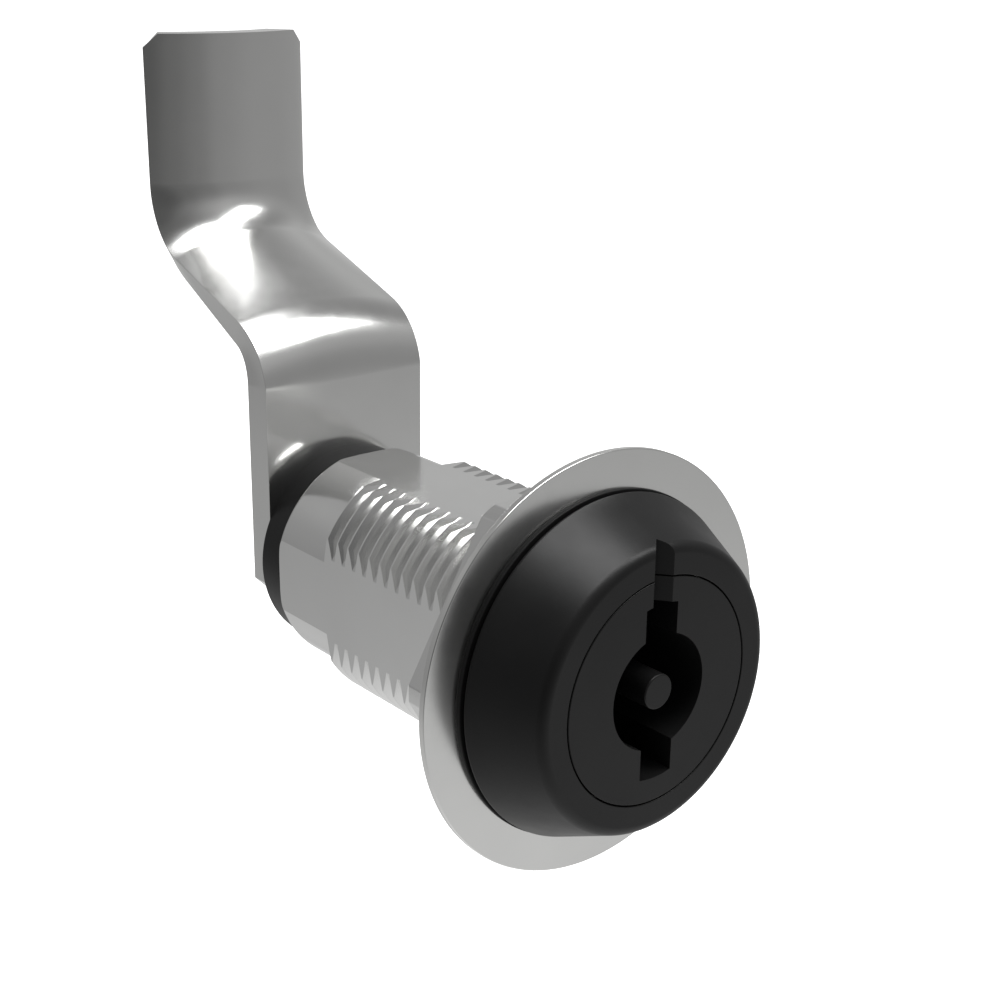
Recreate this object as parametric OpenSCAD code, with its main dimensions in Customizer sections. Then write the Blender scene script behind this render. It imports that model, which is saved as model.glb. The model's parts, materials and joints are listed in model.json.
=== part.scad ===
// Quarter-turn fastener: a threaded body with a moulded head goes through a
// panel and is clamped by a hexagon nut.  A double-bit key turns the insert,
// the spindle and the formed cam together through 90 degrees.
//
// Frame: the lock axis is Y.  The head looks along -Y, the cam is at +Y and
// points up (+Z) at rest.  The origin is on the axis, in the plane of the
// flange disc's back face, which is the face that meets the panel.

/* [Head] */
// Distance from the flange disc's back face to the front of the head
head_h = 7.08; // [6.9:0.02:7.4]
// Radius of the head's front face, before its edge is rounded
head_front_r = 11.6; // [11.4:0.1:11.8]
// Radius of the head where it meets the flange disc
head_base_r = 14.3; // [14.2:0.1:15]
// Radius of the rounding between front face and cone
head_fillet = 1.0; // [0.6:0.1:1.2]
// Width of the position mark, a 90 degree V groove
mark_w = 2.0; // [1.2:0.1:2.4]
// Radius of the flange disc
disc_r = 17.4; // [16.5:0.1:20]
// Thickness of the flange disc
disc_t = 0.58; // [0.5:0.02:0.7]

/* [Key socket] */
// Radius of the insert's face
insert_r = 9.17; // [9.1:0.01:9.2]
// Radius of the round part of the key socket
socket_r = 4.72; // [4.4:0.02:5]
// Width of the two slots for the key's bits
bit_w = 3.26; // [2.8:0.02:3.4]
// Radius at which the two slots end
bit_r = 7.2; // [6.8:0.05:7.3]
// Depth of the key socket
socket_depth = 11; // [9:0.5:11]
// Radius of the centre pin
pin_r = 1.43; // [1.3:0.01:1.6]

/* [Body] */
// Radius of the thread's crests
thread_r = 10.96; // [10.9:0.01:11]
// Depth of the thread
thread_depth = 0.82; // [0.7:0.02:0.9]
// Pitch of the thread
pitch = 1.5; // [1.4:0.05:1.5]
// Distance across the body's flats
flat_w = 18.82; // [18.7:0.02:19.2]
// Radius of the plain end of the body
end_r = 9.97; // [9.8:0.01:10.1]
// Distance from the flange disc's back face to the body's end
body_l = 31.0; // [30.8:0.05:31.1]

/* [Nut] */
// Width across flats of the mounting nut
nut_af = 26.75; // [26.5:0.05:28]
// Radius to which the nut's corners are turned
nut_corner_r = 15.05; // [14.6:0.05:15.4]
// Thickness of the mounting nut
nut_t = 4.37; // [4:0.01:4.37]

/* [Spindle] */
// Radius of the spindle
spindle_r = 6.0; // [5.8:0.05:6]
// Width of the spindle's square end
square_w = 8.0; // [7:0.1:8]
// Radius of the stop ring
stop_r = 9.39; // [9:0.01:9.6]

/* [Cam] */
// Thickness of the cam's steel
cam_t = 3.0; // [2.5:0.1:3]
// Width of the cam
cam_w = 16.91; // [16:0.01:18]
// Distance from the flange disc's back face to the cam's front face
cam_y = 33.85; // [33.7:0.05:34]
// Distance from the flange disc's back face to the tip's front face
tip_y = 50.33; // [47:0.1:54]
// Height of the first bend above the axis
bend_z = 15.77; // [15:0.1:18]
// Height of the tip above the axis
tip_z = 45.2; // [40:0.1:50]
// Front radius of the first bend
bend_r1 = 7.41; // [6:0.1:8]
// Front radius of the second bend
bend_r2 = 4.84; // [4:0.1:6]
// Angle of the sloping web from the lock axis
web_a = 27.27; // [24:0.1:32]
// Half angle of the arc across the tip
tip_arc = 33.7; // [20:0.1:36]

/* [Hidden] */
$fn = 96;

front = -head_h;              // plane of the head's face
root_r = thread_r - thread_depth;
crest_w = 0.15;               // width of a crest
root_w = 0.4;                 // width of a root
groove0 = 22.47;              // middle of the last groove
groove_n = 15;                // grooves on the body
relief = 0.1;                 // depth of the dish in the disc's back
head_back = -1.4;             // back of the metal head under the bezel
end_edge = 0.6;               // rounding of the body's end
ring_y = body_l + 0.05;       // front of the stop ring
rim_y = -disc_t - 0.46;        // lower edge of the head's cone
cone = (head_base_r - head_front_r)/(head_h + rim_y);
stem_r = pin_r - 0.33;        // part of the centre pin inside the insert
pin_y = front + socket_depth - 0.1;

// Solid of revolution about the lock axis, from points [radius, y].
module rev(pts) rotate([-90, 0, 0]) rotate_extrude() polygon(pts);

// Flat shape drawn in x and z, drawn out from y0 to y1.
module slab(y0, y1) translate([0, y1, 0]) rotate([90, 0, 0])
    linear_extrude(height = y1 - y0) children();

// Round bar on the lock axis.
module bar(r, y0, y1) translate([0, y0, 0]) rotate([-90, 0, 0])
    cylinder(r = r, h = y1 - y0);

// Sector of a ring from angle a0 to a1, counted from +X towards +Z.
module sector(r0, r1, a0, a1, y0, y1) slab(y0, y1) rotate(a0)
    difference() {
        intersection() {
            circle(r = r1);
            polygon(concat([[0, 0]], [for (i = [0:6])
                2*r1*[cos(i*(a1 - a0)/6), sin(i*(a1 - a0)/6)]]));
        }
        circle(r = r0);
    }

// Outline of one thread groove whose middle is at y = g.
function groove(g, rc, rr) = [
    [rc, g - (pitch - crest_w)/2], [rr, g - root_w/2],
    [rr, g + root_w/2], [rc, g + (pitch - crest_w)/2]];
function flatten(l) = [for (a = l) for (b = a) b];

// Triangular cutter of the position mark.
module mark() translate([0, 0, bit_r - 0.3])
    linear_extrude(height = 12)
        polygon([[-mark_w/2 - 0.2, front - 0.2], [mark_w/2 + 0.2, front - 0.2],
                 [0, front + mark_w/2]]);

module housing() color([0.66, 0.67, 0.68]) {
    outer = concat(
        [[0, -5.3], [10.4, -5.3], [10.6, -5.1], [10.6, -2.9], [12.3, -2.9],
         [12.3, head_back], [thread_r, head_back]],
        flatten([for (k = [groove_n - 1:-1:0])
            groove(groove0 - k*pitch, thread_r, root_r)]),
        [[thread_r, groove0 + (pitch + crest_w)/2],
         [end_r, groove0 + (pitch + crest_w)/2 + (thread_r - end_r)*0.577]],
        // rounded edge of the body's end
        [for (a = [0:15:90]) [end_r - end_edge*(1 - cos(a)), body_l - end_edge*(1 - sin(a))]],
        [[0, body_l]]);
    difference() {
        rev(outer);
        // four flats behind the head
        slab(head_back, body_l + 1) difference() {
            square(60, center = true);
            square(flat_w, center = true);
        }
        // seat of the insert's head, its barrel and the spindle's bearing
        bar(insert_r + 0.08, -6, -2.0);
        bar(8.1, -2.5, 14.1);
        bar(spindle_r + 0.05, 13, body_l + 1);
        // recess for washer and clip, with two stops in its mouth
        bar(8.4, 27.4, 29.05);
        bar(7.35, 28.5, body_l + 1);
        sector(7, 8.3, -65.6, 65.6, 28.8, body_l + 1);
        sector(7, 8.3, 114.4, 245.6, 28.8, body_l + 1);
    }
}

module bezel() color([0.06, 0.06, 0.065]) {
    // tangent points of the rounding between the face and the cone
    ca = atan(cone);
    d = head_fillet*tan((90 - ca)/2);
    arc = [for (i = [0:8]) let (a = 90 - i*(90 - ca)/8)
        [head_front_r - d + head_fillet*cos(a),
         front + head_fillet - head_fillet*sin(a)]];
    difference() {
        rev(concat([[insert_r + 0.12, front]], arc,
            [[head_base_r, rim_y], [13.1, rim_y], [13.1, head_back],
             [12.35, head_back],
             [12.35, -2.9], [10.65, -2.9], [10.65, -5.3],
             [insert_r + 0.12, -5.3]]));
        mark();
    }
}

// Its thin outer part shows under the head's rim, with a gap above it.
module head_gasket() color([0.1, 0.1, 0.1])
    rev([[11.3, head_back], [13.05, head_back], [13.05, -disc_t - 0.23],
         [head_base_r, -disc_t - 0.23], [head_base_r, -disc_t],
         [11.3, -disc_t]]);

// The disc is slightly dished: only its rim meets the panel.
module flange_disc() color([0.78, 0.79, 0.8]) difference() {
    bar(disc_r, -disc_t, 0);
    bar(nut_corner_r + 0.15, -relief, 1);
    slab(-disc_t - 1, 1) intersection() {
        circle(r = thread_r + 0.19);
        square(flat_w + 0.28, center = true);
    }
}

module mounting_nut() color([0.72, 0.73, 0.74]) {
    c = 0.05;
    difference() {
        intersection() {
            // flats face +Z and -Z
            slab(-relief, nut_t) circle(r = nut_af/2/cos(30), $fn = 6);
            rev([[0, -1], [nut_corner_r, -1], [nut_corner_r, nut_t + 1],
                 [0, nut_t + 1]]);
        }
        rev(concat([[0, -1], [thread_r + c, -1]],
            flatten([for (k = [groove_n - 1:-1:groove_n - 2])
                groove(groove0 - k*pitch, thread_r + c, root_r + c)]),
            [[thread_r + c, groove0 - (groove_n - 3)*pitch - (pitch - crest_w)/2],
             [root_r + c, groove0 - (groove_n - 3)*pitch - root_w/2],
             [root_r + c, nut_t + 1], [0, nut_t + 1]]));
    }
}

// Open space of the key socket.
module key_space(y1) slab(front - 1, y1) union() {
    circle(r = socket_r);
    intersection() {
        square([bit_w, 30], center = true);
        circle(r = bit_r);
    }
}

module key_insert() color([0.05, 0.05, 0.055]) difference() {
    union() {
        bar(insert_r, front, -2.05);
        bar(8.05, -3, 12.4);
    }
    key_space(front + socket_depth);
    mark();
    // seat of the centre pin
    bar(stem_r, 0, 7.1);
    // groove of the ring seal
    slab(5.2, 6.8) difference() {
        circle(r = 12);
        circle(r = 6.85);
    }
    // socket of the spindle's tenon, and hole of the cross pin
    slab(7.5, 13) square(square_w + 0.04, center = true);
    translate([-12, 10, 0]) rotate([0, 90, 0]) cylinder(r = 1, h = 24);
}

module centre_pin() color([0.09, 0.09, 0.095])
    rev([[0, front], [pin_r - 0.12, front], [pin_r, front + 0.12],
         [pin_r, pin_y], [stem_r, pin_y], [stem_r, 7.1], [0, 7.1]]);

module cross_pin() color([0.6, 0.6, 0.6])
    translate([-7.8, 10, 0]) rotate([0, 90, 0]) difference() {
        cylinder(r = 1, h = 15.6);
        translate([0, 0, -1]) cylinder(r = 0.5, h = 18);
        translate([0, -0.15, -1]) cube([2, 0.3, 18]);
    }

module insert_seal() color([0.08, 0.08, 0.08])
    rotate([-90, 0, 0]) translate([0, 0, 6]) rotate_extrude()
        translate([7.46, 0]) circle(r = 0.6, $fn = 32);

module spindle() color([0.6, 0.61, 0.62]) difference() {
    union() {
        slab(7.55, 13) square(square_w, center = true);
        bar(7.9, 12.4, 14.0);
        bar(spindle_r, 13, ring_y);
        intersection() {
            slab(30, 36.55) square(square_w, center = true);
            bar(square_w/2*1.39, 29, 36.55);
        }
    }
    translate([-12, 10, 0]) rotate([0, 90, 0]) cylinder(r = 1, h = 24);
    // groove of the retaining clip
    slab(27.98, 29.02) difference() {
        circle(r = 9);
        circle(r = 5.5);
    }
    // tapped hole of the cam screw
    rev([[0, 24.4], [3, 26], [3, 36.25], [3.5, 37], [0, 37]]);
}

module thrust_washer() color([0.75, 0.75, 0.75]) difference() {
    bar(8.0, 27.45, 27.95);
    bar(spindle_r + 0.1, 27, 28.5);
}

module retaining_clip() color([0.3, 0.3, 0.32]) slab(28, 29) difference() {
    union() {
        circle(r = 7.2);
        for (a = [-112, -68]) rotate(a) translate([6.5, 0]) circle(r = 0.75, $fn = 32);
    }
    circle(r = 5.5);
    polygon([[0, 0], [-3.2, -10], [3.2, -10]]);
    for (a = [-112, -68]) rotate(a) translate([6.5, 0]) circle(r = 0.35, $fn = 24);
}

module stop_ring() color([0.07, 0.07, 0.075]) difference() {
    union() {
        rev([[0, ring_y], [stop_r - 0.2, ring_y], [stop_r, ring_y + 0.2],
             [stop_r, cam_y - 0.2], [stop_r - 0.2, cam_y], [0, cam_y]]);
        // two lugs that run between the stops of the body
        for (a = [45, 225]) sector(6.15, 8.2, a - 20, a + 20, 29.1, ring_y + 0.4);
    }
    slab(28, cam_y + 1) square(square_w + 0.04, center = true);
}

// ---- cam: a flat plate with a square hole, two bends and a curved tip ----
cw = cam_w/2;
turn = 90 - web_a;
web_y0 = cam_y + bend_r1*(1 - cos(turn));
web_z0 = bend_z + bend_r1*sin(turn);
web_y1 = tip_y - bend_r2*(1 - cos(turn));
web_l = (web_y1 - web_y0)/cos(web_a);
web_z1 = web_z0 + web_l*sin(web_a);
arc_z1 = web_z1 + bend_r2*sin(turn);
len1 = bend_r1*turn*PI/180;
len2 = bend_r2*turn*PI/180;
arc_s0 = 0.4;                 // where the arc across the strip begins
arc_s1 = 20.4;                // where it has grown to its full angle
corner = 1.2;                 // cut of the tip's corners

// Stations up the strip: [y, z, angle of the front normal, length, half width]
stations = concat(
    [for (i = [0:10]) let (a = turn*i/10)
        [cam_y + bend_r1*(1 - cos(a)), bend_z + bend_r1*sin(a), a, len1*i/10, cw]],
    [for (i = [1:7])
        [web_y0 + web_l*cos(web_a)*i/8, web_z0 + web_l*sin(web_a)*i/8, turn,
         len1 + web_l*i/8, cw]],
    [for (i = [0:8]) let (a = turn*(1 - i/8))
        [tip_y - bend_r2*(1 - cos(a)), arc_z1 - bend_r2*sin(a), a,
         len1 + web_l + len2*i/8, cw]],
    [[tip_y, tip_z - corner, 0, 100, cw], [tip_y, tip_z, 0, 101, cw - corner]]);
across = 12;
// Half angle of the arc across the strip at length s
function half_arc(s) = max(0.05, tip_arc*min(1, max(0, (s - arc_s0)/(arc_s1 - arc_s0))));
// Point across a station: t from -1 to 1, depth d behind the front surface
function strip_pt(st, t, d) = let (
        al = half_arc(st[3]),
        rc = cw/sin(al),
        q = asin(st[4]/rc)*t,
        n = [-cos(st[2]), sin(st[2])],
        dy = rc*(1 - cos(q)) + d*cos(q))
    [rc*sin(q) - d*sin(q), st[0] - n[0]*dy, st[1] - n[1]*dy];
ring_n = 2*(across + 1);
strip_pts = [for (st = stations) each concat(
    [for (j = [0:across]) strip_pt(st, 2*j/across - 1, 0)],
    [for (j = [across:-1:0]) strip_pt(st, 2*j/across - 1, cam_t)])];
strip_faces = concat(
    [for (i = [0:len(stations) - 2]) for (j = [0:ring_n - 1])
        let (a = i*ring_n + j, b = i*ring_n + (j + 1)%ring_n)
            each [[a, b + ring_n, b], [a, a + ring_n, b + ring_n]]],
    [for (j = [0:across - 1]) let (o = 0)
        each [[o + j, o + ring_n - 2 - j, o + ring_n - 1 - j],
              [o + j, o + j + 1, o + ring_n - 2 - j]]],
    [for (j = [0:across - 1]) let (o = (len(stations) - 1)*ring_n)
        each [[o + j, o + ring_n - 1 - j, o + ring_n - 2 - j],
              [o + j, o + ring_n - 2 - j, o + j + 1]]]);

module cam() color([0.68, 0.68, 0.67]) union() {
    slab(cam_y, cam_y + cam_t) difference() {
        polygon([[-cw, bend_z], [-cw, -2.4], [-cw + 6.1, -8.5],
                 [cw - 6.1, -8.5], [cw, -2.4], [cw, bend_z]]);
        square(square_w + 0.06, center = true);
    }
    polyhedron(points = strip_pts, faces = strip_faces, convexity = 4);
}

module cam_washer() color([0.75, 0.76, 0.77]) difference() {
    bar(7.0, cam_y + cam_t, cam_y + cam_t + 1);
    bar(3.2, cam_y, cam_y + cam_t + 2);
}

module lock_washer() color([0.65, 0.66, 0.67])
    slab(cam_y + cam_t + 1, cam_y + cam_t + 1.7) difference() {
        circle(r = 5.5);
        circle(r = 3.2);
        for (i = [0:9]) rotate(i*36) translate([4.5, -0.45]) square([2, 0.9]);
    }

module cam_screw() color([0.7, 0.71, 0.72]) {
    h0 = cam_y + cam_t + 1.7;
    union() {
        intersection() {
            // flats face +X and -X
            slab(h0, h0 + 4) rotate(30) circle(r = 5/cos(30), $fn = 6);
            rev([[0, h0], [5.78, h0], [5.78, h0 + 3.5], [4.9, h0 + 4], [0, h0 + 4]]);
        }
        rev([[0, 26.2], [2.5, 26.2], [2.97, 26.7], [2.97, h0 + 1], [0, h0 + 1]]);
    }
}

housing();
bezel();
head_gasket();
flange_disc();
mounting_nut();
key_insert();
centre_pin();
cross_pin();
insert_seal();
spindle();
thrust_washer();
retaining_clip();
stop_ring();
cam();
cam_washer();
lock_washer();
cam_screw();
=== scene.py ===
import json
import math
import bpy
import bmesh
from mathutils import Matrix, Vector


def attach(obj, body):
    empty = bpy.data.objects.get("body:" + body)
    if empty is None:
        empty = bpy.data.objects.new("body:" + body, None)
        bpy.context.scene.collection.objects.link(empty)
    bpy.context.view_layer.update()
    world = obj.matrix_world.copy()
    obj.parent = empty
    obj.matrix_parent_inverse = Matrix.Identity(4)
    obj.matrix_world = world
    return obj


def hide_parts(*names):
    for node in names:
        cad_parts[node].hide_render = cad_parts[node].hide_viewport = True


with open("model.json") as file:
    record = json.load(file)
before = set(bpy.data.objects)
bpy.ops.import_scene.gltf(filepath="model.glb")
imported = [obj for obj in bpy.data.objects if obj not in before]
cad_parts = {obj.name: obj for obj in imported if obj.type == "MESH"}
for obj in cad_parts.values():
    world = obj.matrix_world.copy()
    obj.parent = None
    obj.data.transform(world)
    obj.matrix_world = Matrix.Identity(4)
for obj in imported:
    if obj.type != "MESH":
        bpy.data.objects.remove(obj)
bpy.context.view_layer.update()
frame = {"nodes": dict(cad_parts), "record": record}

MM = 0.001
scene = bpy.context.scene

# ------------------------------------------------------------------ camera
# The photograph's viewing angle: azimuth -39.98, elevation 18.96, roll 0.82.
CAM_AT = Vector((-82.61, -86.61, 54.35)) * MM
AZ, EL, ROLL = math.radians(-39.979), math.radians(18.961), math.radians(0.816)
fwd = Vector((-math.sin(AZ) * math.cos(EL), math.cos(AZ) * math.cos(EL), -math.sin(EL)))
r0 = fwd.cross(Vector((0, 0, 1))).normalized()
u0 = r0.cross(fwd)
right = r0 * math.cos(ROLL) + u0 * math.sin(ROLL)
up = u0 * math.cos(ROLL) - r0 * math.sin(ROLL)
cam_data = bpy.data.cameras.new("camera")
cam_data.sensor_fit = "HORIZONTAL"
cam_data.sensor_width = 36.0
cam_data.lens = 1659.68 * 36.0 / 1000.0
cam_data.clip_start = 0.005
cam_data.clip_end = 60.0
cam = bpy.data.objects.new("camera", cam_data)
scene.collection.objects.link(cam)
m = Matrix.Identity(4)
for i in range(3):
    m[i][0], m[i][1], m[i][2], m[i][3] = right[i], up[i], -fwd[i], CAM_AT[i]
cam.matrix_world = m
scene.camera = cam


# ------------------------------------------------------------------ mesh helpers (millimetres in, metres out)
def make(name, verts, faces):
    me = bpy.data.meshes.new(name)
    me.from_pydata([(x * MM, y * MM, z * MM) for x, y, z in verts], [], faces)
    me.update()
    o = bpy.data.objects.new(name, me)
    scene.collection.objects.link(o)
    return o


def outward(o):
    bm = bmesh.new()
    bm.from_mesh(o.data)
    bmesh.ops.recalc_face_normals(bm, faces=bm.faces)
    if bm.calc_volume(signed=True) < 0:
        bmesh.ops.reverse_faces(bm, faces=bm.faces)
    bm.to_mesh(o.data)
    bm.free()
    return o


def smooth(o, angle=28):
    o.data.shade_smooth()
    o.data.set_sharp_from_angle(angle=math.radians(angle))
    return o


def apply_modifier(o, mod):
    bpy.context.view_layer.update()
    dg = bpy.context.evaluated_depsgraph_get()
    me = bpy.data.meshes.new_from_object(o.evaluated_get(dg))
    o.modifiers.clear()
    old = o.data
    o.data = me
    bpy.data.meshes.remove(old)
    return o


def boolean(o, other, op):
    mod = o.modifiers.new("b", "BOOLEAN")
    mod.operation = op
    mod.solver = "EXACT"
    mod.object = other
    apply_modifier(o, mod)
    bpy.data.objects.remove(other)
    return o


def bevel(o, width, segments=3, angle=35, clamp=True):
    mod = o.modifiers.new("v", "BEVEL")
    mod.width = width * MM
    mod.segments = segments
    mod.limit_method = "ANGLE"
    mod.angle_limit = math.radians(angle)
    mod.use_clamp_overlap = clamp
    mod.miter_outer = "MITER_ARC"
    apply_modifier(o, mod)
    return o


def weld(o, dist=0.0003):
    """Joins points that lie on each other and drops the slivers that the cuts leave."""
    bm = bmesh.new()
    bm.from_mesh(o.data)
    bmesh.ops.remove_doubles(bm, verts=bm.verts, dist=dist * MM)
    bmesh.ops.dissolve_degenerate(bm, dist=dist * MM, edges=bm.edges)
    bm.to_mesh(o.data)
    bm.free()
    return o


def rounded(pts, n=6):
    """Profile [(r, y, corner radius)] to [(r, y)], each corner rounded by its radius."""
    out = []
    k = len(pts)
    for i in range(k):
        p = Vector(pts[i][:2])
        rad = pts[i][2] if len(pts[i]) > 2 else 0
        a, b = Vector(pts[i - 1][:2]), Vector(pts[(i + 1) % k][:2])
        if rad <= 0:
            out.append((p.x, p.y))
            continue
        da, db = (a - p).normalized(), (b - p).normalized()
        half = math.acos(max(-1, min(1, da.dot(db)))) / 2
        t = rad / math.tan(half)
        c = p + (da + db).normalized() * (rad / math.sin(half))
        s, e = p + da * t, p + db * t
        a0, a1 = math.atan2(s.y - c.y, s.x - c.x), math.atan2(e.y - c.y, e.x - c.x)
        while a1 - a0 > math.pi:
            a1 -= 2 * math.pi
        while a1 - a0 < -math.pi:
            a1 += 2 * math.pi
        for j in range(n + 1):
            q = a0 + (a1 - a0) * j / n
            out.append((c.x + rad * math.cos(q), c.y + rad * math.sin(q)))
    return out


def revolve(name, prof, n=192):
    """Closed profile [(r, y)] turned about the lock axis. Points at r = 0 are poles."""
    verts, rows = [], []
    for r, y in prof:
        if r < 1e-6:
            rows.append([len(verts)])
            verts.append((0, y, 0))
        else:
            rows.append(list(range(len(verts), len(verts) + n)))
            verts += [(r * math.cos(2 * math.pi * i / n), y, r * math.sin(2 * math.pi * i / n)) for i in range(n)]
    faces = []
    k = len(rows)
    for j in range(k):
        a, b = rows[j], rows[(j + 1) % k]
        if len(a) == 1 and len(b) == 1:
            continue
        for i in range(n):
            i2 = (i + 1) % n
            if len(a) == 1:
                faces.append((a[0], b[i2], b[i]))
            elif len(b) == 1:
                faces.append((a[i], a[i2], b[0]))
            else:
                faces.append((a[i], a[i2], b[i2], b[i]))
    return outward(make(name, verts, faces))


def prism(name, outline, y0, y1):
    """Outline [(x, z)] drawn out along the lock axis."""
    n = len(outline)
    verts = [(x, y0, z) for x, z in outline] + [(x, y1, z) for x, z in outline]
    faces = [tuple(range(n)), tuple(range(2 * n - 1, n - 1, -1))]
    faces += [(i, i + n, (i + 1) % n + n, (i + 1) % n) for i in range(n)]
    return outward(make(name, verts, faces))


def wedge(name, outline, z0, z1):
    """Outline [(x, y)] drawn out along Z."""
    n = len(outline)
    verts = [(x, y, z0) for x, y in outline] + [(x, y, z1) for x, y in outline]
    faces = [tuple(range(n)), tuple(range(2 * n - 1, n - 1, -1))]
    faces += [(i, i + n, (i + 1) % n + n, (i + 1) % n) for i in range(n)]
    return outward(make(name, verts, faces))


def circle_pts(r, n, a0=0.0, a1=2 * math.pi, closed=True):
    k = n if closed else n + 1
    return [(r * math.cos(a0 + (a1 - a0) * i / n), r * math.sin(a0 + (a1 - a0) * i / n)) for i in range(k)]


# ------------------------------------------------------------------ materials
def nodes_of(name):
    mat = bpy.data.materials.new(name)
    mat.use_nodes = True
    nt = mat.node_tree
    bsdf = next(n for n in nt.nodes if n.type == "BSDF_PRINCIPLED")
    return mat, nt, bsdf


def link(nt, a, b):
    nt.links.new(a, b)


def coords(nt, scale=(1, 1, 1)):
    tc = nt.nodes.new("ShaderNodeTexCoord")
    mp = nt.nodes.new("ShaderNodeMapping")
    mp.inputs["Scale"].default_value = scale
    link(nt, tc.outputs["Object"], mp.inputs["Vector"])
    return mp.outputs["Vector"]


def noise(nt, vec, scale, detail=3.0, rough=0.55):
    n = nt.nodes.new("ShaderNodeTexNoise")
    n.inputs["Scale"].default_value = scale
    n.inputs["Detail"].default_value = detail
    n.inputs["Roughness"].default_value = rough
    link(nt, vec, n.inputs["Vector"])
    return n.outputs["Fac"]


def spread(nt, fac, lo, hi, f0=0.3, f1=0.7):
    """Maps a factor to a number from lo to hi."""
    n = nt.nodes.new("ShaderNodeMapRange")
    n.inputs["From Min"].default_value = f0
    n.inputs["From Max"].default_value = f1
    n.inputs["To Min"].default_value = lo
    n.inputs["To Max"].default_value = hi
    link(nt, fac, n.inputs["Value"])
    return n.outputs["Result"]


def two_colours(nt, fac, c0, c1, f0=0.3, f1=0.7):
    n = nt.nodes.new("ShaderNodeValToRGB")
    n.color_ramp.elements[0].position = f0
    n.color_ramp.elements[0].color = (*c0, 1)
    n.color_ramp.elements[1].position = f1
    n.color_ramp.elements[1].color = (*c1, 1)
    link(nt, fac, n.inputs["Fac"])
    return n.outputs["Color"]


def bump(nt, height, strength, dist, prev=None):
    n = nt.nodes.new("ShaderNodeBump")
    n.inputs["Strength"].default_value = strength
    n.inputs["Distance"].default_value = dist
    link(nt, height, n.inputs["Height"])
    if prev is not None:
        link(nt, prev, n.inputs["Normal"])
    return n.outputs["Normal"]


def metal(name, base, rough, grain=(1, 1, 1), grain_scale=900, cloud=0.04, rvar=0.03, bump_s=0.05):
    """Bright steel: faint clouding of colour and gloss, and a fine grain drawn out by the grain scale."""
    mat, nt, b = nodes_of(name)
    b.inputs["Metallic"].default_value = 1.0
    v = coords(nt)
    big = noise(nt, v, 70, 3)
    lo = tuple(c * (1 - cloud) for c in base)
    hi = tuple(min(1, c * (1 + cloud * 0.5)) for c in base)
    link(nt, two_colours(nt, big, lo, hi), b.inputs["Base Color"])
    g = noise(nt, coords(nt, grain), grain_scale, 4, 0.6)
    mix = nt.nodes.new("ShaderNodeMath")
    mix.operation = "ADD"
    link(nt, spread(nt, noise(nt, v, 160, 2), -rvar, rvar), mix.inputs[0])
    link(nt, spread(nt, g, rough - rvar * 0.6, rough + rvar * 0.6), mix.inputs[1])
    link(nt, mix.outputs[0], b.inputs["Roughness"])
    link(nt, bump(nt, g, bump_s, 0.00002), b.inputs["Normal"])
    return mat


def plastic(name, base, rough, grain_scale=2600, bump_s=0.12, rvar=0.04):
    """Moulded black plastic with a fine spark-eroded texture."""
    mat, nt, b = nodes_of(name)
    v = coords(nt)
    big = noise(nt, v, 90, 3)
    link(nt, two_colours(nt, big, tuple(c * 0.85 for c in base), tuple(c * 1.15 for c in base)), b.inputs["Base Color"])
    g = noise(nt, v, grain_scale, 3, 0.6)
    link(nt, spread(nt, noise(nt, v, 240, 3), rough - rvar, rough + rvar), b.inputs["Roughness"])
    link(nt, bump(nt, g, bump_s, 0.00003), b.inputs["Normal"])
    b.inputs["IOR"].default_value = 1.42
    return mat


M = {
    "plated_body": metal("mat_plated_body", (0.93, 0.93, 0.92), 0.14),
    "polished_steel": metal("mat_polished_steel", (0.94, 0.94, 0.925), 0.18, rvar=0.02),
    "nut_steel": metal("mat_nut_steel", (0.92, 0.92, 0.91), 0.15),
    "cam_steel": metal("mat_cam_steel", (0.93, 0.93, 0.917), 0.15),
    "hardware_steel": metal("mat_hardware_steel", (0.84, 0.85, 0.86), 0.28),
    "black_plastic": plastic("mat_black_plastic", (0.012, 0.012, 0.0122), 0.38),
    "black_insert": plastic("mat_black_insert", (0.013, 0.013, 0.0132), 0.38),
    "black_ring": plastic("mat_black_ring", (0.008, 0.008, 0.0082), 0.34),
    "rubber": plastic("mat_rubber", (0.01, 0.01, 0.01), 0.55),
}


def finish_piece(o, slot, body, nodes, angle=28):
    """Soft edges that leave the wide faces truly flat, then the finish and the node it stands for."""
    weld(o)
    smooth(o, angle)
    mod = o.modifiers.new("w", "WEIGHTED_NORMAL")
    mod.mode = "FACE_AREA"
    mod.weight = 100
    mod.keep_sharp = True
    o.data.transform(Matrix.Scale(1 / MM, 4))  # the weights need areas of about 1
    apply_modifier(o, mod)
    o.data.transform(Matrix.Scale(MM, 4))
    o.data.materials.clear()
    o.data.materials.append(M[slot])
    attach(o, body)
    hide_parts(*nodes)
    return o


# ------------------------------------------------------------------ sizes (mm), as in the CAD part
FRONT = -7.08
DISC_T = 0.58
FLAT = 9.41
THREAD_R, ROOT_R, PITCH = 10.96, 10.14, 1.5
CREST_W, ROOT_W, GROOVE0 = 0.15, 0.4, 22.47
END_R, BODY_L = 9.97, 31.0
MARK = [(-1.2, FRONT - 0.2), (1.2, FRONT - 0.2), (0, FRONT + 1.0)]


# ------------------------------------------------------------------ head: bezel
def build_bezel():
    prof = rounded([
        (9.29, FRONT, 0.06), (11.6, FRONT, 1.0), (14.3, -1.04, 0.26),
        (13.1, -1.04), (13.1, -1.4), (12.35, -1.4), (12.35, -2.9), (10.65, -2.9), (10.65, -5.3), (9.29, -5.3)], 10)
    o = revolve("bezel_piece", prof, 288)
    boolean(o, wedge("cut", MARK, 6.9, 20), "DIFFERENCE")
    return finish_piece(o, "black_plastic", "lock_body", ["bezel"])


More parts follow.
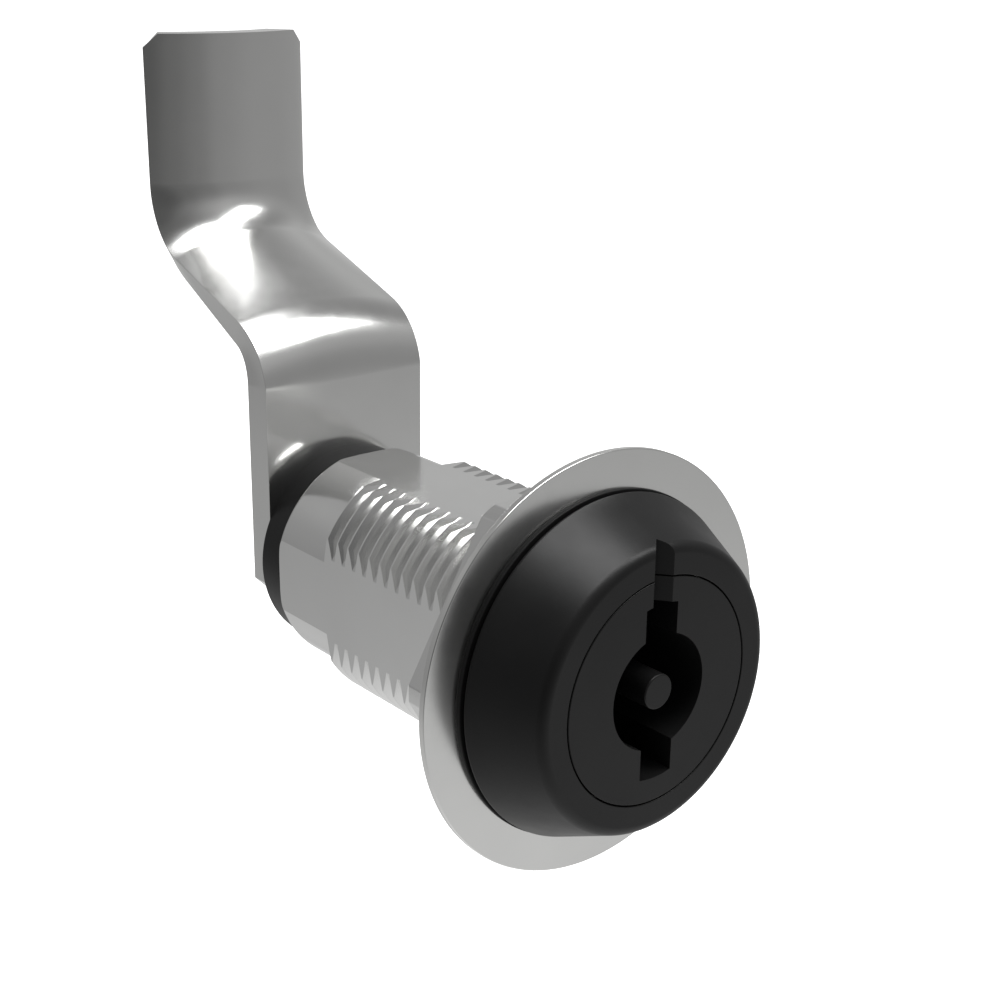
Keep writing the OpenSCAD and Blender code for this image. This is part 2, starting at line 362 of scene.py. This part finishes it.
def build_gasket():
    prof = rounded([(11.3, -1.4), (13.05, -1.4), (13.05, -0.81), (14.28, -0.81, 0.08), (14.28, -DISC_T, 0.03), (11.3, -DISC_T)], 4)
    return finish_piece(revolve("head_gasket_piece", prof, 288), "rubber", "lock_body", ["head_gasket"])


# ------------------------------------------------------------------ key insert with its double-bit socket
def socket_outline(n=64):
    a = math.asin(1.63 / 4.72)
    pts = []
    # right side arc from the lower slot to the upper slot
    s, e = -math.pi / 2 + a, math.pi / 2 - a
    pts += [(4.72 * math.cos(s + (e - s) * i / n), 4.72 * math.sin(s + (e - s) * i / n)) for i in range(n + 1)]
    b = math.asin(1.63 / 7.2)
    pts += [(7.2 * math.cos(math.pi / 2 - b + 2 * b * i / 10), 7.2 * math.sin(math.pi / 2 - b + 2 * b * i / 10)) for i in range(11)]
    s, e = math.pi / 2 + a, 3 * math.pi / 2 - a
    pts += [(4.72 * math.cos(s + (e - s) * i / n), 4.72 * math.sin(s + (e - s) * i / n)) for i in range(n + 1)]
    pts += [(7.2 * math.cos(-math.pi / 2 - b + 2 * b * i / 10), 7.2 * math.sin(-math.pi / 2 - b + 2 * b * i / 10)) for i in range(11)]
    return pts


def build_insert():
    prof = rounded([
        (0, FRONT), (9.17, FRONT, 0.08), (9.17, -2.05), (8.05, -2.05), (8.05, 5.2), (6.85, 5.2), (6.85, 6.8),
        (8.05, 6.8), (8.05, 12.4, 0.2), (0, 12.4)], 5)
    o = revolve("insert_piece", prof, 288)
    boolean(o, prism("cut", socket_outline(), FRONT - 1, FRONT + 11), "DIFFERENCE")
    boolean(o, wedge("cut", MARK, 6.9, 20), "DIFFERENCE")
    boolean(o, revolve("cut", [(0, 0), (1.1, 0), (1.1, 7.1), (0, 7.1)], 48), "DIFFERENCE")
    boolean(o, prism("cut", [(-4.02, -4.02), (4.02, -4.02), (4.02, 4.02), (-4.02, 4.02)], 7.5, 13), "DIFFERENCE")
    hole = revolve("cut", [(0, -12), (1.0, -12), (1.0, 12), (0, 12)], 48)
    hole.data.transform(Matrix.Translation((0, 0.010, 0)) @ Matrix.Rotation(math.pi / 2, 4, "Z"))
    boolean(o, hole, "DIFFERENCE")
    return finish_piece(o, "black_insert", "rotor", ["key_insert"])


def build_centre_pin():
    prof = rounded([(0, FRONT), (1.43, FRONT, 0.14), (1.43, 3.82, 0.05), (1.1, 3.82), (1.1, 7.1), (0, 7.1)], 5)
    return finish_piece(revolve("centre_pin_piece", prof, 64), "black_insert", "rotor", ["centre_pin"])


# ------------------------------------------------------------------ flange disc
def flatted(r, f, n=24):
    """Circle of radius r with four flats at distance f."""
    a = math.acos(f / r)
    out = []
    for q in range(4):
        s, e = q * math.pi / 2 + a, (q + 1) * math.pi / 2 - a
        out += [(r * math.cos(s + (e - s) * i / n), r * math.sin(s + (e - s) * i / n)) for i in range(n + 1)]
    return out


def build_disc():
    prof = rounded([
        (5, -DISC_T), (17.4, -DISC_T, 0.09), (17.4, 0, 0.09), (15.2, 0, 0.03), (15.2, -0.1, 0.03), (5, -0.1)], 5)
    o = revolve("flange_disc_piece", prof, 320)
    boolean(o, prism("cut", flatted(11.15, 9.55), -2, 1), "DIFFERENCE")
    return finish_piece(o, "polished_steel", "lock_body", ["flange_disc"])


# ------------------------------------------------------------------ thread
def thread_wall(name, r_in, crest, root, y_lo, k_lo, k_hi, tail, a_slot=5.0, n=336):
    """A shell with the right-hand thread on its outside, open in a narrow slot at the bottom.
    Grooves k_lo..k_hi counted back from the last one; tail holds the points past the last crest."""
    prof = []
    for k in range(k_hi, k_lo - 1, -1):
        g = GROOVE0 - k * PITCH
        prof += [(crest, g - (PITCH - CREST_W) / 2), (root, g - ROOT_W / 2), (root, g + ROOT_W / 2), (crest, g + (PITCH - CREST_W) / 2)]
    prof += tail
    verts, faces = [], []
    cols = []
    for i in range(n + 1):
        th = -90 + a_slot + (360 - 2 * a_slot) * i / n
        dy = PITCH * (158 - th) / 360.0
        c, s = math.cos(math.radians(th)), math.sin(math.radians(th))
        ring = [(r_in, y_lo)] + [(r, y + dy) for r, y in prof]
        ring = [(crest, y_lo)] + ring[1:] + [(r_in, ring[-1][1])]
        ring = [(r_in, y_lo)] + ring
        cols.append(list(range(len(verts), len(verts) + len(ring))))
        verts += [(r * c, y, r * s) for r, y in ring]
    w = len(cols[0])
    for i in range(n):
        a, b = cols[i], cols[i + 1]
        for j in range(w):
            j2 = (j + 1) % w
            faces.append((a[j], a[j2], b[j2], b[j]))
    faces.append(tuple(cols[0]))
    faces.append(tuple(reversed(cols[-1])))
    return outward(make(name, verts, faces))


def build_housing():
    top = GROOVE0 + (PITCH + CREST_W) / 2
    tail = [(THREAD_R, top), (END_R - 0.02, top + (THREAD_R - END_R + 0.02) * 0.577)]
    o = thread_wall("housing_piece", 9.2, THREAD_R, ROOT_R, -1.4, 0, 14, tail)
    core = revolve("core", [(0, -1.4), (9.6, -1.4), (9.6, 20.0), (END_R, 20.0)] + rounded([(0, 25), (END_R, 25), (END_R, BODY_L, 0.6), (0, BODY_L)], 20)[2:], 336)
    boolean(o, core, "UNION")
    sq = prism("sq", [(-FLAT, -FLAT), (FLAT, -FLAT), (FLAT, FLAT), (-FLAT, FLAT)], -3, 32)
    boolean(o, sq, "INTERSECT")
    head = revolve("head", rounded([(0, -5.3), (10.6, -5.3, 0.2), (10.6, -2.9), (12.3, -2.9, 0.2), (12.3, -1.4), (0, -1.4)], 4), 192)
    boolean(o, head, "UNION")
    bore = revolve("bore", [(0, -6), (9.25, -6), (9.25, -2.0), (8.1, -2.0), (8.1, 14.1), (6.05, 14.1), (6.05, 27.4), (8.4, 27.4), (8.4, 29.05), (7.35, 29.05), (7.35, 33), (0, 33)], 192)
    boolean(o, bore, "DIFFERENCE")
    for a0, a1 in ((-65.6, 65.6), (114.4, 245.6)):
        a0, a1 = math.radians(a0), math.radians(a1)
        ring = [(8.3 * math.cos(a0 + (a1 - a0) * i / 48), 8.3 * math.sin(a0 + (a1 - a0) * i / 48)) for i in range(49)]
        ring += [(7.0 * math.cos(a1 + (a0 - a1) * i / 48), 7.0 * math.sin(a1 + (a0 - a1) * i / 48)) for i in range(49)]
        boolean(o, prism("cut", ring, 28.8, 33), "DIFFERENCE")
    return finish_piece(o, "plated_body", "lock_body", ["housing"], 8)


def build_nut():
    r = 26.75 / 2 / math.cos(math.pi / 6)
    hexa = prism("mounting_nut_piece", [(r * math.cos(math.radians(60 * i)), r * math.sin(math.radians(60 * i))) for i in range(6)], -0.1, 4.37)
    ring = revolve("ring", [(0, -0.1), (15.05, -0.1), (15.05, 4.37), (0, 4.37)], 336)
    boolean(hexa, ring, "INTERSECT")
    bevel(hexa, 0.08, 2, 20)
    boolean(hexa, revolve("bore", [(0, -1), (10.22, -1), (10.22, 3.55), (11.2, 4.33), (11.33, 4.4), (11.33, 6), (0, 6)], 192), "DIFFERENCE")
    top = GROOVE0 + (PITCH + CREST_W) / 2
    crest = THREAD_R + 0.06
    boolean(hexa, thread_wall("cut", 5, crest, ROOT_R + 0.03, -1.4, 0, 14, [(crest, top), (crest, top + 0.5)], 0.6), "DIFFERENCE")
    return finish_piece(hexa, "nut_steel", "lock_body", ["mounting_nut"], 12)


# ------------------------------------------------------------------ stop ring
def build_stop_ring():
    prof = rounded([(5.9, 31.05), (9.39, 31.05, 0.15), (9.39, 33.85), (5.9, 33.85)], 5)
    return finish_piece(revolve("stop_ring_piece", prof, 256), "black_ring", "rotor", ["stop_ring"])


# ------------------------------------------------------------------ cam
def build_cam():
    CW, T = 8.455, 3.0
    CY, TY, BZ, TZ = 33.85, 50.33, 15.77, 45.1
    R1, R2, WA = 7.41, 4.84, math.radians(27.27)
    turn = math.pi / 2 - WA
    wy0, wz0 = CY + R1 * (1 - math.cos(turn)), BZ + R1 * math.sin(turn)
    wy1 = TY - R2 * (1 - math.cos(turn))
    wl = (wy1 - wy0) / math.cos(WA)
    wz1 = wz0 + wl * math.sin(WA)
    az1 = wz1 + R2 * math.sin(turn)
    l1, l2 = R1 * turn, R2 * turn
    cut = 1.2
    st = []  # y, z, angle, arc length, half width

    def lower(z, w):
        st.append((CY, z, 0.0, -1.0, w))
    lower(-8.5, CW - 6.1)
    for i in range(1, 7):
        lower(-8.5 + 6.1 * i / 6, CW - 6.1 + 6.1 * i / 6)
    for i in range(1, 19):
        lower(-2.4 + (BZ + 2.4) * i / 19, CW)
    n1, n2, n3 = 44, 48, 36
    for i in range(n1 + 1):
        a = turn * i / n1
        st.append((CY + R1 * (1 - math.cos(a)), BZ + R1 * math.sin(a), a, l1 * i / n1, CW))
    for i in range(1, n2):
        st.append((wy0 + wl * math.cos(WA) * i / n2, wz0 + wl * math.sin(WA) * i / n2, turn, l1 + wl * i / n2, CW))
    for i in range(n3 + 1):
        a = turn * (1 - i / n3)
        st.append((TY - R2 * (1 - math.cos(a)), az1 - R2 * math.sin(a), a, l1 + wl + l2 * i / n3, CW))
    for i in range(1, 25):
        st.append((TY, az1 + (TZ - cut - az1) * i / 24, 0.0, 100.0, CW))
    for i in range(1, 4):
        st.append((TY, TZ - cut + cut * i / 3, 0.0, 100.0, CW - cut * i / 3))
    m = 48

    def half(s):
        return max(math.radians(0.05), math.radians(33.7) * min(1, max(0, (s - 0.4) / 20.0)))
    verts, faces, rings = [], [], []
    nt = 6
    for y, z, a, s, w in st:
        al = half(s)
        rc = CW / math.sin(al)
        q1 = math.asin(w / rc)
        ny, nz = -math.cos(a), math.sin(a)

        def pt(q, d):
            dy = rc * (1 - math.cos(q)) + d * math.cos(q)
            return (rc * math.sin(q) - d * math.sin(q), y - ny * dy, z - nz * dy)
        ring = [pt(q1 * (2 * j / m - 1), 0) for j in range(m + 1)]
        ring += [pt(q1, T * j / nt) for j in range(1, nt)]
        ring += [pt(q1 * (1 - 2 * j / m), T) for j in range(m + 1)]
        ring += [pt(-q1, T * (1 - j / nt)) for j in range(1, nt)]
        rings.append(list(range(len(verts), len(verts) + len(ring))))
        verts += ring
    w = len(rings[0])
    for i in range(len(rings) - 1):
        a, b = rings[i], rings[i + 1]
        for j in range(w):
            j2 = (j + 1) % w
            faces.append((a[j], a[j2], b[j2], b[j]))
    faces.append(tuple(rings[0]))
    faces.append(tuple(reversed(rings[-1])))
    o = outward(make("cam_piece", verts, faces))
    boolean(o, prism("sq", [(-4.03, -4.03), (4.03, -4.03), (4.03, 4.03), (-4.03, 4.03)], 33, 38), "DIFFERENCE")
    bevel(o, 0.05, 2, 40)
    return finish_piece(o, "cam_steel", "rotor", ["cam"], 30)


# ------------------------------------------------------------------ cam screw and washers
def build_screw():
    h0 = 38.55
    r = 5 / math.cos(math.pi / 6)
    hexa = prism("cam_screw_piece", [(r * math.cos(math.radians(60 * i + 30)), r * math.sin(math.radians(60 * i + 30))) for i in range(6)], h0, h0 + 4)
    cap = revolve("cap", rounded([(0, h0), (5.6, h0), (5.8, h0 + 0.12), (5.8, h0 + 3.45), (4.75, h0 + 4), (0, h0 + 4)], 4), 192)
    boolean(hexa, cap, "INTERSECT")
    bevel(hexa, 0.06, 2, 40)
    shank = revolve("shank", [(0, 26.2), (2.5, 26.2), (2.97, 26.7), (2.97, h0 + 1), (0, h0 + 1)], 48)
    boolean(hexa, shank, "UNION")
    return finish_piece(hexa, "hardware_steel", "rotor", ["cam_screw"], 25)


def build_washer():
    prof = rounded([(3.2, 36.85, 0.05), (7.0, 36.85, 0.1), (7.0, 37.85, 0.25), (3.2, 37.85, 0.05)], 4)
    return finish_piece(revolve("cam_washer_piece", prof, 128), "hardware_steel", "rotor", ["cam_washer"])


build_bezel()
build_gasket()
build_insert()
build_centre_pin()
build_disc()
build_housing()
build_nut()
build_stop_ring()
build_cam()
build_screw()
build_washer()

# CAD nodes that stay get their finish here
for s in frame["record"]["subparts"]:
    o = frame["nodes"][s["node"]]
    if not o.hide_render:
        o.data.materials.clear()
        o.data.materials.append(M[s["material_slot"]])

# ------------------------------------------------------------------ floor
fl = bpy.data.meshes.new("floor")
fl.from_pydata([(-8, -8, -0.12), (8, -8, -0.12), (8, 8, -0.12), (-8, 8, -0.12)], [], [(0, 1, 2, 3)])
floor = bpy.data.objects.new("floor", fl)
scene.collection.objects.link(floor)
mat, nt, b = nodes_of("mat_floor")
b.inputs["Base Color"].default_value = (0.9, 0.9, 0.9, 1)
b.inputs["Roughness"].default_value = 0.9
b.inputs["Emission Color"].default_value = (1, 1, 1, 1)
b.inputs["Emission Strength"].default_value = 1.0
fl.materials.append(mat)
floor.visible_glossy = False
floor.visible_diffuse = False
floor.visible_shadow = False

# ------------------------------------------------------------------ light: a bright floor, a grey studio, a dark side behind the camera
def towards(az, el):
    """Unit vector, azimuth from +X towards +Y."""
    a, e = math.radians(az), math.radians(el)
    return Vector((math.cos(a) * math.cos(e), math.sin(a) * math.cos(e), math.sin(e)))


world = bpy.data.worlds.new("studio")
scene.world = world
world.use_nodes = True
nt = world.node_tree
bg = next(n for n in nt.nodes if n.type == "BACKGROUND")
way = nt.nodes.new("ShaderNodeTexCoord").outputs["Generated"]


def grey_ramp(value, stops):
    """Stops are (position from -1 to 1, level)."""
    mr = nt.nodes.new("ShaderNodeMapRange")
    mr.inputs["From Min"].default_value = -1
    mr.inputs["From Max"].default_value = 1
    link(nt, value, mr.inputs["Value"])
    n = nt.nodes.new("ShaderNodeValToRGB")
    n.color_ramp.interpolation = "EASE"
    link(nt, mr.outputs["Result"], n.inputs["Fac"])
    el = n.color_ramp.elements
    for k, (pos, lev) in enumerate(stops):
        e = el[k] if k < 2 and k < len(el) else el.new((pos + 1) / 2)
        e.position = (pos + 1) / 2
        e.color = (lev, lev, lev, 1)
    return n.outputs["Color"]


def along(direction):
    n = nt.nodes.new("ShaderNodeVectorMath")
    n.operation = "DOT_PRODUCT"
    link(nt, way, n.inputs[0])
    n.inputs[1].default_value = direction
    return n.outputs["Value"]


def combine(op, a, b):
    n = nt.nodes.new("ShaderNodeMix")
    n.data_type = "RGBA"
    n.blend_type = op
    n.clamp_result = False
    n.inputs["Factor"].default_value = 1
    link(nt, a, n.inputs["A"])
    link(nt, b, n.inputs["B"])
    return n.outputs["Result"]


def calc(op, a, b=0.0, c=0.0):
    n = nt.nodes.new("ShaderNodeMath")
    n.operation = op
    for sock, v in zip(n.inputs, (a, b, c)):
        if isinstance(v, float):
            sock.default_value = v
        else:
            link(nt, v, sock)
    return n.outputs[0]


def glow(az, el, level, tight):
    """A soft patch of light that fades away from one direction, never brighter than 1.2."""
    fade = calc("EXPONENT", calc("MULTIPLY_ADD", along(towards(az, el)), float(tight), float(-tight)))
    return calc("MINIMUM", calc("MULTIPLY", fade, float(level)), 1.2)


height = grey_ramp(along((0, 0, 1)), [
    (-1.0, 0.84), (1.0, 0.44), (-0.87, 0.64), (-0.7, 0.55), (-0.5, 0.48), (-0.33, 0.37), (-0.2, 0.285), (0.0, 0.287), (0.25, 0.294), (0.5, 0.336), (0.8, 0.25)])
side = grey_ramp(along(towards(-140, 15)), [
    (-1.0, 1.58), (1.0, 0.32), (-0.78, 0.94), (-0.45, 0.92), (-0.1, 0.925), (0.4, 0.83), (0.64, 0.635), (0.82, 0.51), (0.94, 0.31)])
under = grey_ramp(along(towards(90, -45)), [(-1.0, 0.8), (1.0, 1.0), (0.2, 1.06), (0.7, 0.9), (0.93, 0.93)])
total = combine("MULTIPLY", combine("MULTIPLY", height, side), under)
for az, el, level, tight in (
        (-39, 50, 1.1, 80),     # round the key lamp
        (-43, 64, 1.1, 80),
        (-50, 42, 0.07, 10),
        (60, 88.8, 42, 59),     # round the overhead lamp
        (-78, 44, 0.14, 14),    # left front
        (45, 30, 0.09, 12),     # back right
        (62, -12, 0.19, 40),    # low at the back
        (55, 5, 0.13, 40),
        (-60, -45, 0.11, 8)):   # floor at the front
    total = combine("ADD", total, glow(az, el, level, tight))
seen = nt.nodes.new("ShaderNodeMix")
seen.data_type = "RGBA"
link(nt, nt.nodes.new("ShaderNodeLightPath").outputs["Is Camera Ray"], seen.inputs["Factor"])
link(nt, total, seen.inputs["A"])
seen.inputs["B"].default_value = (1, 1, 1, 1)
link(nt, seen.outputs["Result"], bg.inputs["Color"])
bg.inputs["Strength"].default_value = 1.0

CENTRE = Vector((0, 0.022, 0.008))


def soft_box(name, az, el, dist, size, level, shape="RECTANGLE"):
    """Area light of a given brightness, seen from the object in a given direction."""
    d = bpy.data.lights.new(name, "AREA")
    d.shape = shape
    d.size = size[0]
    d.size_y = size[1]
    a = size[0] * size[1] * (math.pi / 4 if shape in ("DISK", "ELLIPSE") else 1)
    d.energy = level * math.pi * a
    o = bpy.data.objects.new(name, d)
    scene.collection.objects.link(o)
    o.location = CENTRE + towards(az, el) * dist
    o.rotation_mode = "QUATERNION"
    o.rotation_quaternion = towards(az, el).to_track_quat("Z", "Y")
    return o


soft_box("overhead", 0, 90, 0.9, (0.56, 0.56), 4.0, "DISK")
soft_box("key", -41, 57, 0.9, (0.30, 0.41), 4.0)
scene.view_settings.view_transform = "Standard"
scene.view_settings.look = "None"
